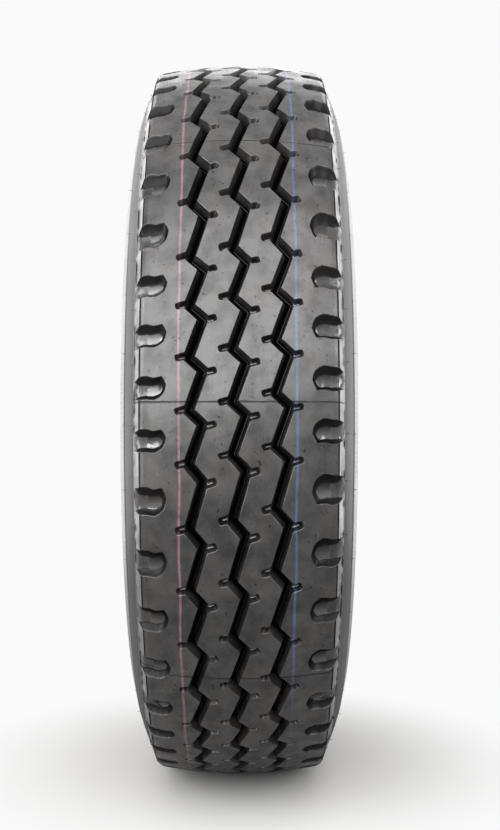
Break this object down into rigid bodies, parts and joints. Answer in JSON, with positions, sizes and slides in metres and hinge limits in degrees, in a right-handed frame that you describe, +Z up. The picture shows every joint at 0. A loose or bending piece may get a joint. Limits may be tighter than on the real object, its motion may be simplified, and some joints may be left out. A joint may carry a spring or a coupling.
{
  "type": "truck and bus tyre",
  "caption": "Bare truck and bus radial tyre with zigzag grooves, side slots and open shoulder pockets, hollow inside and open at the beads.",
  "frame": {"origin": "centre of the wheel, on the spin axis and in the tyre's middle plane", "axes": "+Y along the spin axis, +Z up, and the tyre stands on its tread at -Z"},
  "size_m": [1.0848, 0.3, 1.0819],
  "materials": {
    "tyre": "matte moulded rubber"
  },
  "bodies": {
    "root": {"tyre": "tyre"}
  },
  "joints": []
}
